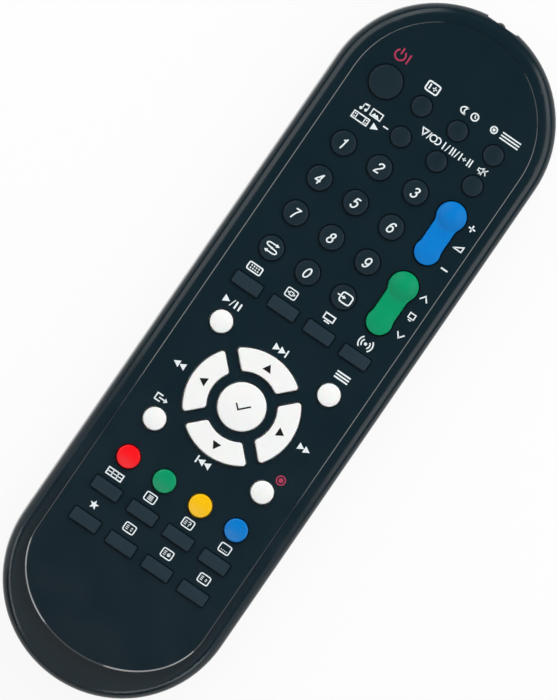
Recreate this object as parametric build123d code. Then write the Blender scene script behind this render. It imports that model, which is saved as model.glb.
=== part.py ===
from build123d import *
import math
import os

# Television remote control, lying on its back on a table.
# +X is to the right of the keys, +Y the infrared end, +Z up from the back.
# The origin is under the middle of the case. All sizes are in millimetres.

# Case
body_length = 200.0
body_width = 60.3
case_wall = 2.0
parting_height = 11.0
underside_round = 7.0
rim_round = 3.2
chin_length = 80.0
chin_fall = 2.5
chin_roll_length = 10.0
chin_roll = 3.2
seam = 0.2
tongue_height = 1.2
joint_gap = 0.15

# Key panel, a flat plateau that stands a little proud of the rim
rim_width = 4.75
panel_wall = 2.2
panel_step = 0.3
panel_edge_round = 0.25
panel_chin_depth = 21.0
panel_chin_margin = 8.6

# Circuit board, keypad mat and what presses them together
board_side_gap = 2.95
board_thickness = 1.2
board_upper_inset = 14.0
board_lower_margin = 3.6
mat_thickness = 1.0
mat_inset = 0.6
collar_height = 0.8
collar_wall = 0.8
post_radius = 2.0
press_post_radius = 1.0
post_inset = 2.4

# Keys, in four columns between the panel's sides. The rows fill the length between the first and the
# last one, and these steps between them share it out.
column_margin = 8.975
first_row_inset = 28.9
last_row_inset = 37.44
first_to_sound_row = 9.3
sound_to_number_row = 9.4
number_to_number_row = 10.67
number_to_source_row = 10.9
source_to_play_row = 11.5
play_to_ring_row = 14.85
ring_to_end_row = 14.85
end_to_colour_row = 11.6
colour_to_guide_row = 9.75
guide_to_last_row = 9.5
key_clearance = 0.3
key_travel = 1.1
stop_gap = 0.2
flange_reach = 1.0
flange_thickness = 0.7
flange_gap = 0.3
plunger_inset = 0.6
plunger_gap = 0.3
pill_inset = 0.3
pill_thickness = 0.4
pill_gap = 0.1
key_edge_round = 0.35
power_radius = 4.3
small_radius = 2.6
number_radius = 3.15
white_radius = 2.95
colour_radius = 3.0
ok_radius = 6.22
flat_gap = 3.05
flat_depth = 3.4
flat_corner = 0.4
small_proud = 1.0
number_proud = 1.2
flat_proud = 0.9
colour_proud = 1.3
crown = 0.3

# Ring of four direction keys
ring_outer_radius = 14.95
ring_inner_radius = 9.0
ring_gap = 3.2
ring_corner = 0.8
ring_proud = 1.1

# Rockers, which tilt on two round trunnions at the middle of their length
rocker_upper_radius = 3.9
rocker_lower_radius = 3.4
rocker_waist = 6.1
rocker_neck_round = 3.0
rocker_proud = 0.9
rocker_dome = 1.1
rocker_lower_dome = 0.4
rocker_tilt = 5.0
trunnion_radius = 0.7
trunnion_reach = 1.2
trunnion_gap = 0.15
rocker_leg_radius = 2.1
rocker_leg_swing = 0.6

# Battery bay: two AAA cells side by side, under a cover that slides off the lower end
cell_diameter = 10.5
cell_length = 44.5
cell_button_radius = 1.9
cell_button_length = 0.8
cell_pitch = 12.0
cell_gap = 0.3
cover_wall = 1.8
cover_half_width = 20.0
cover_lead = 9.0
cover_end_height = 9.2
cover_gap = 0.25
bay_end_margin = 16.5
bay_wall = 1.2
bay_side_gap = 0.35
tray_wall = 1.1
rail_height = 1.0
rail_reach = 1.2
hook_wall = 1.3
hook_margin = 4.0
contact_thickness = 0.4
contact_width = 9.4
contact_height = 8.6
tail_width = 2.0
spring_length = 7.2
spring_wire = 0.6
spring_radius = 3.4
spring_turns = 4.5
grip_grooves = 6
grip_pitch = 2.4
grip_depth = 0.5
grip_half_width = 9.0

# Screws
screw_side_gap = 0.7
screw_row_gap = 7.5
screw_radius = 1.3
screw_head_radius = 2.5
screw_head_height = 1.5
screw_length = 5.2
screw_fit = 0.05
boss_radius = 2.9
screw_slot_width = 0.8

# Infrared end
notch_width = 9.0
notch_depth = 0.75
window_width = 7.0
window_height = 5.6
window_gap = 0.15
window_flange = 0.8
window_flange_thickness = 0.8
nub_radius = 1.35
led_radius = 2.5
led_flange_radius = 2.9
led_length = 8.6
led_lead = 0.5
led_lead_pitch = 2.54

# Parts on the underside of the board
chip_length = 17.9
chip_width = 7.5
chip_thickness = 2.3
chip_pins = 14
chip_pin_pitch = 1.27
resonator_size = (7.0, 2.6, 5.0)
capacitor_radius = 2.5
capacitor_height = 7.0
chip_side_inset = 11.2
standoff = 0.3

# Latch tabs at the sides
latch_upper_inset = 40.0
latch_lower_gap = 14.0
latch_width = 6.0
latch_thickness = 1.2
latch_depth = 3.6
latch_barb = 0.5
latch_gap = 0.15

# Heights, from the back up to the key panel
cell_height = cover_wall + cell_gap + cell_diameter / 2
tray_underside = cell_height + cell_diameter / 2 + cell_gap / 3
board_underside = tray_underside + tray_wall
board_top = board_underside + board_thickness
mat_top = board_top + mat_thickness
collar_top = mat_top + collar_height
flange_underside = collar_top + key_travel + stop_gap
flange_top = flange_underside + flange_thickness
panel_underside = flange_top + flange_gap
panel_top = panel_underside + panel_wall
rim_top = panel_top - panel_step
pill_underside = board_top + key_travel + pill_gap
pill_top = pill_underside + pill_thickness
pivot_height = panel_underside
trunnion_end = rocker_waist / 2 + trunnion_reach
led_height = board_underside - standoff - led_flange_radius

# Places along the case
side_half_length = (body_length - body_width) / 2
lower_end = -body_length / 2
chin_start = lower_end + chin_length
chin_roll_start = lower_end + chin_roll_length
panel_half_width = body_width / 2 - rim_width
panel_side_end = lower_end + panel_chin_margin + panel_chin_depth
row_steps = [first_to_sound_row, sound_to_number_row] + 3 * [number_to_number_row] + [
    number_to_source_row,
    source_to_play_row,
    play_to_ring_row,
    ring_to_end_row,
    end_to_colour_row,
    colour_to_guide_row,
    guide_to_last_row,
]
row_fit = (body_length - first_row_inset - last_row_inset) / sum(row_steps)
rows = [body_length / 2 - first_row_inset - row_fit * sum(row_steps[:i]) for i in range(len(row_steps) + 1)]
power_row, sound_row = rows[:2]
number_rows = rows[2:6]
source_row, play_row, ring_row, end_row, colour_row, guide_row, favourite_row = rows[6:]
number_pitch_y = row_fit * number_to_number_row
key_pitch_x = 2 * (panel_half_width - column_margin) / 3
flat_width = key_pitch_x - flat_gap
post_rows = [power_row, (number_rows[1] + number_rows[2]) / 2, play_row, end_row, favourite_row]
columns = [(i - 1.5) * key_pitch_x for i in range(4)]
board_upper_end = body_length / 2 - board_upper_inset
board_lower_end = favourite_row - flat_depth / 2 - board_lower_margin
board_half_width = body_width / 2 - case_wall - board_side_gap
post_x = board_half_width - post_inset
bay_length = cell_length + spring_length + 2 * contact_thickness
bay_end = lower_end + bay_end_margin
bay_start = bay_end + bay_length
bay_half_width = cell_pitch / 2 + cell_diameter / 2 + bay_side_gap
bay_outer = bay_half_width + bay_wall
cover_start = bay_start + cover_lead
hook_outer = cover_half_width - rail_reach - cover_gap
screw_x = bay_outer + screw_head_radius + screw_side_gap
screw_row = bay_end + screw_row_gap
chip_row = number_rows[2]
resonator_x = board_half_width - chip_side_inset
capacitor_x = -resonator_x
latch_rows = (body_length / 2 - latch_upper_inset, cover_start + latch_lower_gap)
notch_floor = body_length / 2 - notch_depth
window_flange_width = window_width / 2 + window_flange
window_flange_face = side_half_length - window_gap + math.sqrt(
    (body_width / 2 - case_wall) ** 2 - window_flange_width**2
)
led_tip = window_flange_face - window_flange_thickness - 2 * window_gap
lead_row = board_upper_end - board_thickness
near = 0.01


# Plain shapes


def stadium(inset, low, high):
    """Upright block of the case's outline, drawn in by inset."""
    outline = SlotOverall(body_length - 2 * inset, body_width - 2 * inset, rotation=90)
    return Pos(0, 0, low) * extrude(outline, high - low)


def block(x, y, z):
    """Box between two limits along each axis."""
    middle = Pos((x[0] + x[1]) / 2, (y[0] + y[1]) / 2, (z[0] + z[1]) / 2)
    return middle * Box(x[1] - x[0], y[1] - y[0], z[1] - z[0])


def upright(outline, low, high):
    """Outline raised between two heights."""
    return Pos(0, 0, low) * extrude(outline, high - low)


def rod(x, y, radius, low, high):
    """Upright round rod."""
    return Pos(x, y, (low + high) / 2) * Cylinder(radius, high - low)


def level_edges(shape, height):
    """Edges that lie flat at a height."""
    flat = []
    for edge in shape.edges():
        heights = [edge.position_at(share).Z for share in (0, 0.25, 0.5)]
        if max(abs(z - height) for z in heights) < near:
            flat.append(edge)
    return flat


def outline_edges(shape, low, high):
    """Edges between two heights that run round the case's outline."""
    ring = []
    for edge in shape.edges():
        middle = edge.position_at(0.5)
        reach = math.hypot(middle.X, max(abs(middle.Y) - side_half_length, 0))
        on_outline = abs(reach - body_width / 2) < near
        level = abs((edge % 0.5).Z) < 0.9
        if on_outline and level and low < middle.Z < high:
            ring.append(edge)
    return ring


# Case


def under_rim(drop):
    """Everything below the rim's long side view, lowered by drop: flat, then the fall to the chin."""
    top = rim_top - drop
    tip = body_length / 2 + case_wall
    level = Line((tip, top), (chin_start, top))
    fall = TangentArc(level @ 1, (chin_roll_start, top - chin_fall), tangent=level % 1)
    roll = TangentArc(fall @ 1, (-tip, top - chin_fall - chin_roll), tangent=fall % 1)
    rest = Polyline(roll @ 1, (-tip, 0), (tip, 0), level @ 0)
    side_view = make_face([level, fall, roll, rest])
    return extrude(Plane.YZ * side_view, body_width, both=True)


def panel_outline(inset):
    """The key panel: a round upper end, straight sides and a long elliptical chin."""
    half = panel_half_width - inset
    right = Line((half, panel_side_end), (half, side_half_length))
    crown_arc = CenterArc((0, side_half_length), half, 0, 180)
    left = Line((-half, side_half_length), (-half, panel_side_end))
    chin = EllipticalCenterArc((0, panel_side_end), half, panel_chin_depth - inset, 180, arc_size=180)
    return make_face([right, crown_arc, left, chin])


def infrared_notch():
    """The flat recess in the upper end, over the case's whole height."""
    return block(
        (-notch_width / 2, notch_width / 2), (notch_floor, body_length), (-case_wall, panel_top + case_wall)
    )


def window_hole(grow):
    """The window's way through the end wall."""
    half_width = window_width / 2 + grow
    half_height = window_height / 2 + grow
    return block(
        (-half_width, half_width),
        (notch_floor - 2 * case_wall, notch_floor + notch_depth),
        (led_height - half_height, led_height + half_height),
    )


def latch_places():
    """Side and row of each latch tab."""
    return [(side, row) for side in (-1, 1) for row in latch_rows]


def latch_tab(side, row):
    """A springy tab on the upper case's wall, with a barb at its foot."""
    wall_face = body_width / 2 - case_wall
    foot = parting_height - latch_depth
    half = latch_width / 2
    outer = wall_face - latch_gap
    inner = outer - latch_thickness
    tab = block((inner, outer), (row - half, row + half), (foot, panel_underside))
    root_height = parting_height + 2 * tongue_height
    root = block((inner, wall_face + latch_gap), (row - half, row + half), (root_height, panel_underside))
    barb = block((inner, wall_face + latch_barb), (row - half, row + half), (foot, foot + latch_thickness))
    whole = tab + root + barb
    return whole if side > 0 else mirror(whole, Plane.YZ)


def latch_slot(side, row):
    """The recess in the lower case's wall that takes a tab's barb."""
    wall_face = body_width / 2 - case_wall
    foot = parting_height - latch_depth - latch_gap
    half = latch_width / 2 + latch_gap
    slot = block(
        (wall_face - latch_gap, wall_face + latch_barb + latch_gap),
        (row - half, row + half),
        (foot, foot + latch_thickness + 2 * latch_gap),
    )
    return slot if side > 0 else mirror(slot, Plane.YZ)


def upper_case():
    """Top half: rounded rim, flat key panel, grooves for the trunnions, bosses, posts and latch tabs."""
    rim = stadium(0, parting_height, panel_top) & under_rim(0)
    rim = fillet(outline_edges(rim, parting_height + near, panel_top), rim_round)
    rim = chamfer(outline_edges(rim, parting_height - near, parting_height + near), seam)
    panel = upright(panel_outline(0), parting_height, panel_top)
    panel = fillet(level_edges(panel, panel_top), panel_edge_round)
    shell = rim + panel
    shell -= stadium(case_wall, 0, panel_top) & under_rim(case_wall) & block(
        (-body_width, body_width), (-body_length, body_length), (0, panel_underside)
    )
    shell -= upright(panel_outline(case_wall), parting_height, panel_underside)
    shell -= stadium(case_wall / 2, 0, parting_height + tongue_height + joint_gap)
    shell -= infrared_notch()
    shell -= window_hole(window_gap)
    shell -= [Pos(x, y, 0) * upright(outline, parting_height, 2 * panel_top) for outline, x, y in key_holes()]
    groove = Rot(0, 90, 0) * Cylinder(trunnion_radius + trunnion_gap, 2 * (trunnion_end + trunnion_gap))
    shell -= [Pos(x, y, pivot_height) * groove for name, x, y in rocker_places()]
    shell += [latch_tab(side, row) for side, row in latch_places()]
    pilot = screw_radius + screw_fit
    for side in (-1, 1):
        shell += [rod(side * post_x, row, press_post_radius, mat_top, panel_underside) for row in post_rows]
        shell += rod(side * screw_x, screw_row, boss_radius, board_underside, panel_underside)
        shell -= rod(side * screw_x, screw_row, pilot, board_underside, panel_underside - case_wall / 2)
    return shell


def lower_shell(inset):
    """The lower half's outer form, drawn in by inset."""
    form = stadium(inset, inset, parting_height)
    form = fillet(level_edges(form, inset), underside_round - inset)
    return form if inset else chamfer(level_edges(form, parting_height), seam)


def cover_space(gap):
    """The part of the lower shell that the battery cover takes."""
    half = cover_half_width - gap
    return block((-half, half), (-body_length, cover_start - gap), (-case_wall, cover_end_height - gap))


def tray():
    """Roof, walls and rails of the battery bay, which close the lower case over the cover's opening."""
    skirt_outer = cover_half_width + bay_wall
    front = cover_start + case_wall
    upper_inset = case_wall + 2 * joint_gap
    room = lower_shell(joint_gap) + stadium(upper_inset, parting_height, board_underside)
    across = (-skirt_outer, skirt_outer)
    bay_rows = (bay_end - bay_wall, bay_start + bay_wall)
    bay_heights = (cell_height / 2, tray_underside)
    walls = block(across, (lower_end, front + bay_wall), (tray_underside, board_underside))
    walls += block(across, (front, front + bay_wall), (case_wall / 2, board_underside))
    for side in (-1, 1):
        skirt = block((cover_half_width, skirt_outer), (lower_end, front), (case_wall / 2, board_underside))
        rail = block(
            (cover_half_width - rail_reach, skirt_outer),
            (bay_end + bay_wall, cover_start - hook_margin),
            (cover_wall + cover_gap, cover_wall + cover_gap + rail_height),
        )
        bay_side = block((bay_half_width, bay_outer), bay_rows, bay_heights)
        walls += [piece if side > 0 else mirror(piece, Plane.YZ) for piece in (skirt, rail, bay_side)]
    for row in (bay_start, bay_end - bay_wall):
        walls += block((-bay_outer, bay_outer), (row, row + bay_wall), bay_heights)
    rear = stadium(case_wall - joint_gap, cover_end_height + cover_gap, parting_height)
    rear += stadium(upper_inset, parting_height, board_underside)
    rear -= stadium(upper_inset + bay_wall, 0, board_underside)
    rear &= block(across, (lower_end, -side_half_length), (0, board_underside))
    return (walls & room) + rear


def contact_tail(side, low, high, grow):
    """Strip from a contact plate up through the bay's roof and the board, or the slot for it."""
    x = side * cell_pitch / 2
    half = tail_width / 2 + grow
    return block((x - half, x + half), (bay_start - contact_thickness - grow, bay_start + grow), (low, high))


def lower_case():
    """Back half: floor, wall with its tongue, board posts, battery bay and the rails for the cover."""
    shell = lower_shell(0) - lower_shell(case_wall)
    tongue = stadium(case_wall / 2 + joint_gap, parting_height - case_wall, parting_height + tongue_height)
    shell += tongue - stadium(case_wall, 0, parting_height + tongue_height)
    shell -= cover_space(0)
    shell += tray()
    for side in (-1, 1):
        for row in post_rows[:3]:
            shell += rod(side * post_x, row, post_radius, case_wall / 2, board_underside)
        shell -= rod(side * screw_x, screw_row, screw_radius + 2 * screw_fit, tray_underside, board_underside)
        head_room = screw_head_radius + 2 * screw_fit
        shell -= rod(side * screw_x, screw_row, head_room, tray_underside - screw_head_height, tray_underside)
        shell -= contact_tail(side, tray_underside, board_underside, joint_gap)
    for side, row in latch_places():
        shell -= latch_slot(side, row)
    shell -= infrared_notch()
    shell -= window_hole(window_gap)
    return shell


def battery_cover():
    """Sliding cover: the floor under the bay and the case's round lower end, with hooks and front lips."""
    cover = (lower_shell(0) - lower_shell(cover_wall)) & cover_space(cover_gap)
    hook_floor = cover_wall + 2 * cover_gap + rail_height
    hook_heights = (hook_floor, hook_floor + rail_height)
    hook_rows = (bay_end - hook_margin / 2, cover_start - hook_margin)
    post_sides = (hook_outer - hook_wall, hook_outer)
    hook_sides = (hook_outer, cover_half_width - cover_gap)
    lip_floor = case_wall + cover_gap
    lip_heights = (lip_floor, lip_floor + rail_height)
    lip_sides = (bay_outer + 2 * cover_gap, hook_outer - hook_wall - cover_gap)
    foot_rows = (cover_start - case_wall, cover_start - 2 * cover_gap)
    lip_rows = (cover_start - case_wall, cover_start + case_wall - cover_gap)
    right_side = [
        block(post_sides, hook_rows, (cover_wall / 2, hook_floor + rail_height)),
        block(hook_sides, hook_rows, hook_heights),
        block(lip_sides, foot_rows, (cover_wall / 2, lip_floor)),
        block(lip_sides, lip_rows, lip_heights),
    ]
    cover += right_side + [mirror(piece, Plane.YZ) for piece in right_side]
    for i in range(grip_grooves):
        row = cover_start - 2 * hook_margin - i * grip_pitch
        groove = Pos(0, row, 0) * Rot(0, 90, 0) * Cylinder(grip_depth, 2 * grip_half_width)
        cover -= groove
    return cover


# Board, mat and keys


def board_outline(inset):
    """The board: the case's round upper end, drawn in, and a square lower end."""
    margin = case_wall + board_side_gap + inset
    outline = SlotOverall(body_length - 2 * margin, body_width - 2 * margin, rotation=90)
    lower = board_lower_end + inset
    upper = board_upper_end - inset
    window = Pos(0, (lower + upper) / 2) * Rectangle(body_width, upper - lower)
    return outline & window


def circuit_board():
    """Printed circuit board, with holes for the infrared LED's leads and the contact strips."""
    board = upright(board_outline(0), board_underside, board_top)
    lead = led_lead / 2 + joint_gap
    for side in (-1, 1):
        x = side * led_lead_pitch / 2
        board -= block((x - lead, x + lead), (lead_row - lead, lead_row + lead), (board_underside, board_top))
        board -= contact_tail(side, board_underside, board_top, joint_gap)
    return board


def rocker_outline(grow):
    """Seen from above, a rocker has a large lobe, a waist and a smaller lobe."""
    half = number_pitch_y / 2
    shape = Pos(0, half) * Circle(rocker_upper_radius + grow)
    shape += Pos(0, -half) * Circle(rocker_lower_radius + grow)
    shape += Rectangle(rocker_waist + 2 * grow, number_pitch_y)
    return fillet(shape.vertices(), rocker_neck_round - grow)


def ring_outline(turn):
    """Outline maker for one key of the ring, turned about the ring's centre."""

    def outline(grow):
        apex = (ring_gap / 2 - grow) * math.sqrt(2)
        reach = 2 * ring_outer_radius
        wedge = Polygon((0, apex), (reach, apex + reach), (-reach, apex + reach), align=None)
        band = Circle(ring_outer_radius + grow) - Circle(ring_inner_radius - grow)
        quarter = band & wedge
        return Rot(0, 0, turn) * fillet(quarter.vertices(), ring_corner + grow / 2)

    return outline


def round_outline(radius):
    """Outline maker for a round key."""
    return lambda grow: Circle(radius + grow)


def flat_outline(grow):
    """Outline of a flat key."""
    return RectangleRounded(flat_width + 2 * grow, flat_depth + 2 * grow, flat_corner + max(grow, 0))


def round_cap(radius, proud):
    """Round key top with a low crown."""
    top = panel_top + proud
    shoulder = top - crown
    wall_line = Polyline((0, flange_top), (radius, flange_top), (radius, shoulder))
    crown_arc = ThreePointArc((radius, shoulder), (radius / 2, top - crown / 4), (0, top))
    axis_line = Line((0, top), (0, flange_top))
    cap = revolve(Plane.XZ * make_face([wall_line, crown_arc, axis_line]), Axis.Z)
    return fillet(level_edges(cap, shoulder), key_edge_round)


def flat_cap(outline, proud):
    """Key top that is level but for its rounded edge."""
    cap = upright(outline(0), flange_top, panel_top + proud)
    return fillet(level_edges(cap, panel_top + proud), key_edge_round)


def press_key(cap, outline):
    """A key that is pressed straight down: cap, flange and plunger, with the carbon pill under it."""
    body = cap + upright(outline(flange_reach), flange_underside, flange_top)
    body += upright(outline(-plunger_inset), pill_top, flange_underside)
    pill = upright(outline(-plunger_inset - pill_inset), pill_underside, pill_top)
    return [body, pill]


def rocker():
    """A rocker: domed upper lobe, low waist, a trunnion each side, and two legs with carbon pills."""
    half = number_pitch_y / 2
    top = panel_top + rocker_proud
    body = upright(rocker_outline(0), flange_underside, top)
    body = fillet(level_edges(body, top), key_edge_round)
    for y, radius, dome in (
        (half, rocker_upper_radius, rocker_dome),
        (-half, rocker_lower_radius, rocker_lower_dome),
    ):
        foot = radius - key_edge_round
        ball = (foot**2 + dome**2) / (2 * dome)
        cap = Pos(0, y, top + dome - ball) * Sphere(ball)
        body += cap & upright(Pos(0, y) * Circle(foot), top - key_edge_round, top + 2 * dome)
    body += Pos(0, 0, pivot_height) * Rot(0, 90, 0) * Cylinder(trunnion_radius, 2 * trunnion_end)
    swing = (half + rocker_leg_radius) * math.sin(math.radians(rocker_tilt))
    pill_foot = board_top + swing + pill_gap
    solids = []
    for y in (half, -half):
        body += rod(0, y, rocker_leg_radius, pill_foot + pill_thickness, flange_underside)
        solids.append(rod(0, y, rocker_leg_radius - pill_inset, pill_foot, pill_foot + pill_thickness))
    return [body] + solids


def key_table():
    """Every key that is pressed straight down: name, place, outline maker and cap."""
    power = round_outline(power_radius), round_cap(power_radius, number_proud)
    small = round_outline(small_radius), round_cap(small_radius, small_proud)
    number = round_outline(number_radius), round_cap(number_radius, number_proud)
    white = round_outline(white_radius), round_cap(white_radius, colour_proud)
    colour = round_outline(colour_radius), round_cap(colour_radius, colour_proud)
    centre = round_outline(ok_radius), round_cap(ok_radius, colour_proud)
    flat = flat_outline, flat_cap(flat_outline, flat_proud)
    left, inner_left, inner_right, right = columns
    table = [
        ("power_key", left, power_row, *power),
        ("info_key", inner_left, power_row, *small),
        ("sleep_key", inner_right, power_row, *small),
        ("list_key", right, power_row, *small),
        ("media_key", inner_left, sound_row, *small),
        ("sound_key", inner_right, sound_row, *small),
        ("mute_key", right, sound_row, *small),
        ("swap_key", left, number_rows[3], *number),
        ("number_0_key", inner_left, number_rows[3], *number),
        ("input_key", inner_right, number_rows[3], *number),
        ("play_key", left, play_row, *white),
        ("menu_key", right, play_row, *white),
        ("ok_key", 0, ring_row, *centre),
        ("end_key", left, end_row, *white),
        ("record_key", right, end_row, *white),
    ]
    for digit in range(1, 10):
        place = columns[(digit - 1) % 3], number_rows[(digit - 1) // 3]
        table.append((f"number_{digit}_key", *place, *number))
    for name, turn in (("up", 0), ("left", 90), ("down", 180), ("right", 270)):
        outline = ring_outline(turn)
        table.append((f"{name}_key", 0, ring_row, outline, flat_cap(outline, ring_proud)))
    rows = (
        (colour_row, ("red", "green", "yellow", "blue"), colour),
        (source_row, ("digital", "wide", "monitor", "radio"), flat),
        (guide_row, ("guide", "text", "reveal", "subtitle"), flat),
        (favourite_row, ("favourite", "hold", "index", "subpage"), flat),
    )
    for row, names, form in rows:
        for x, name in zip(columns, names):
            table.append((f"{name}_key", x, row, *form))
    return table


def rocker_places():
    """Name and middle of each rocker."""
    return [
        ("volume_rocker", columns[3], (number_rows[0] + number_rows[1]) / 2),
        ("programme_rocker", columns[3], (number_rows[2] + number_rows[3]) / 2),
    ]


def key_holes():
    """Outline and place of each hole in the panel."""
    holes = [(outline(key_clearance), x, y) for name, x, y, outline, cap in keys]
    for name, x, y in rocker_places():
        holes.append((rocker_outline(key_clearance), x, y))
    return holes


def keypad_mat():
    """Silicone sheet on the board, with a collar round the plunger of each key."""
    collars = []
    bores = []
    for name, x, y, outline, cap in keys:
        collar = outline(plunger_gap + collar_wall - plunger_inset)
        collars.append(Pos(x, y, 0) * upright(collar, board_top, collar_top))
        bores.append(Pos(x, y, 0) * upright(outline(plunger_gap - plunger_inset), board_top, collar_top))
    leg_bore = rocker_leg_radius + rocker_leg_swing
    for name, x, y in rocker_places():
        for end in (-number_pitch_y / 2, number_pitch_y / 2):
            collars.append(rod(x, y + end, leg_bore + collar_wall, board_top, collar_top))
            bores.append(rod(x, y + end, leg_bore, board_top, collar_top))
    sheet = upright(board_outline(mat_inset), board_top, mat_top)
    return (sheet + collars) - bores


# Infrared end and the parts on the board


def ir_window():
    """Dark lens that closes the notch, with a round nub outside and a flange inside the wall."""
    half_height = window_height / 2 + window_flange
    flange_heights = (led_height - half_height, led_height + half_height)
    flange_rows = (window_flange_face - window_flange_thickness, window_flange_face)
    lens = window_hole(0) & block((-body_width, body_width), (flange_rows[0], notch_floor), (0, panel_top))
    flange = block((-window_flange_width, window_flange_width), flange_rows, flange_heights)
    ball = (nub_radius**2 + notch_depth**2) / (2 * notch_depth)
    nub = Pos(0, notch_floor + notch_depth - ball, led_height) * Sphere(ball)
    nub &= block((-ball, ball), (notch_floor - notch_depth / 2, body_length), (0, panel_top))
    return lens + flange + nub


def ir_led():
    """Infrared LED that looks out of the window, on two leads bent up into the board."""
    base = led_tip - led_length
    shoulder = led_tip - led_radius
    led = Pos(0, (base + shoulder) / 2, led_height) * Rot(90, 0, 0) * Cylinder(led_radius, shoulder - base)
    led += Pos(0, shoulder, led_height) * Sphere(led_radius)
    led += Pos(0, base + led_lead, led_height) * Rot(90, 0, 0) * Cylinder(led_flange_radius, 2 * led_lead)
    half = led_lead / 2
    for side in (-1, 1):
        x = side * led_lead_pitch / 2
        span = (x - half, x + half)
        led += block(span, (lead_row - half, base + led_lead), (led_height - half, led_height + half))
        led += block(span, (lead_row - half, lead_row + half), (led_height - half, board_top))
    return led


def controller_chip():
    """Controller in a flat package with two rows of legs, on the board's underside."""
    low = board_underside - standoff - chip_thickness
    body = Pos(0, chip_row, low + chip_thickness / 2) * Box(chip_width, chip_length, chip_thickness)
    knee = chip_width / 2 + 2 * standoff
    toe = knee + 2 * standoff
    waist = low + chip_thickness / 2
    legs = []
    for i in range(chip_pins):
        row = chip_row + (i - (chip_pins - 1) / 2) * chip_pin_pitch
        span = (row - standoff / 2, row + standoff / 2)
        leg = block((0, knee + standoff), span, (waist - standoff / 2, waist + standoff / 2))
        leg += block((knee, knee + standoff), span, (waist, board_underside))
        leg += block((knee, toe), span, (board_underside - standoff, board_underside))
        legs += [leg, mirror(leg, Plane.YZ)]
    return body + legs


def resonator():
    """Ceramic resonator that hangs from the board on two short leads."""
    width, depth, height = resonator_size
    top = board_underside - standoff
    body = fillet(Box(width, depth, height).edges(), depth / 4)
    body = Pos(resonator_x, chip_row, top - height / 2) * body
    for side in (-1, 1):
        body += rod(resonator_x + side * led_lead_pitch, chip_row, led_lead / 2, top - depth, board_underside)
    return body


def capacitor():
    """Electrolytic capacitor, its can hanging from the board."""
    foot = board_underside - capacitor_height
    can = rod(capacitor_x, chip_row, capacitor_radius, foot, board_underside)
    return fillet(level_edges(can, foot), standoff)


# Battery bay


def contact_plates():
    """Two plates at the bay's upper end, with strips up to the board, and one that links the cells below."""
    heights = (cell_height - contact_height / 2, cell_height + contact_height / 2)
    plates = []
    for side in (-1, 1):
        middle = side * cell_pitch / 2
        span = (middle - contact_width / 2, middle + contact_width / 2)
        plate = block(span, (bay_start - contact_thickness, bay_start), heights)
        plates.append(plate + contact_tail(side, cell_height, board_top, 0))
    half_link = (cell_pitch + contact_width) / 2
    plates.append(block((-half_link, half_link), (bay_end, bay_end + contact_thickness), heights))
    return plates


def battery_cells():
    """Two AAA cells, laid head to tail: the left one's button is at the bay's upper end."""
    can_length = cell_length - cell_button_length
    can = Cylinder(cell_diameter / 2, can_length)
    can = fillet(can.edges().filter_by(GeomType.CIRCLE), standoff)
    cell = can + Pos(0, 0, cell_length / 2) * Cylinder(cell_button_radius, cell_button_length)
    button_ends = {-1: bay_start - contact_thickness, 1: bay_end + contact_thickness}
    cells = []
    for side, button_end in button_ends.items():
        middle = button_end + side * (cell_button_length + can_length / 2)
        cells.append(Pos(side * cell_pitch / 2, middle, cell_height) * Rot(90 * side, 0, 0) * cell)
    return cells


def battery_springs():
    """One coil spring behind the flat end of each cell."""
    room = spring_length - spring_wire
    wire_path = Helix(room / spring_turns, room, spring_radius)
    section = Plane(origin=wire_path @ 0, z_dir=wire_path % 0) * Circle(spring_wire / 2)
    coil = sweep(section, wire_path)
    seats = {-1: bay_end + contact_thickness, 1: bay_start - contact_thickness}
    springs = []
    for side, seat in seats.items():
        place = Pos(side * cell_pitch / 2, seat - side * spring_wire / 2, cell_height)
        springs.append(place * Rot(90 * side, 0, 0) * coil)
    return springs


def case_screws():
    """Two pan head screws that hold the halves together, driven from inside the battery bay."""
    foot = tray_underside - screw_head_height
    head = rod(0, 0, screw_head_radius, foot, tray_underside)
    head = fillet(level_edges(head, foot), screw_head_height / 3)
    reach = screw_head_radius - screw_slot_width
    for turn in (0, 90):
        half = screw_slot_width / 2
        slot = block((-reach, reach), (-half, half), (foot, foot + screw_head_height / 2))
        head -= Rot(0, 0, turn) * slot
    screw = head + rod(0, 0, screw_radius, tray_underside, tray_underside + screw_length)
    return [Pos(side * screw_x, screw_row, 0) * screw for side in (-1, 1)]


# Write one file per piece


def write(name, solids):
    """Write one node, which may hold several separate solids."""
    pieces = solids if isinstance(solids, list) else [solids]
    members = [solid for piece in pieces for solid in piece.solids()]
    whole = members[0] if len(members) == 1 else Compound(children=members)
    export_step(whole, f"parts/{name}.step")


os.makedirs("parts", exist_ok=True)
keys = key_table()
write("upper_case", upper_case())
write("lower_case", lower_case())
write("battery_cover", battery_cover())
write("keypad_mat", keypad_mat())
write("circuit_board", circuit_board())
write("ir_window", ir_window())
write("ir_led", ir_led())
write("controller_chip", controller_chip())
write("resonator", resonator())
write("capacitor", capacitor())
write("contact_plates", contact_plates())
write("battery_springs", battery_springs())
write("battery_cells", battery_cells())
write("case_screws", case_screws())
for name, x, y, outline, cap in keys:
    write(name, [Pos(x, y, 0) * solid for solid in press_key(cap, outline)])
for name, x, y in rocker_places():
    write(name, [Pos(x, y, 0) * solid for solid in rocker()])
print("rocker pivots at height", round(pivot_height, 3))
for name, x, y in rocker_places():
    print(name, round(x, 3), round(y, 3))
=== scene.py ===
import math

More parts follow.
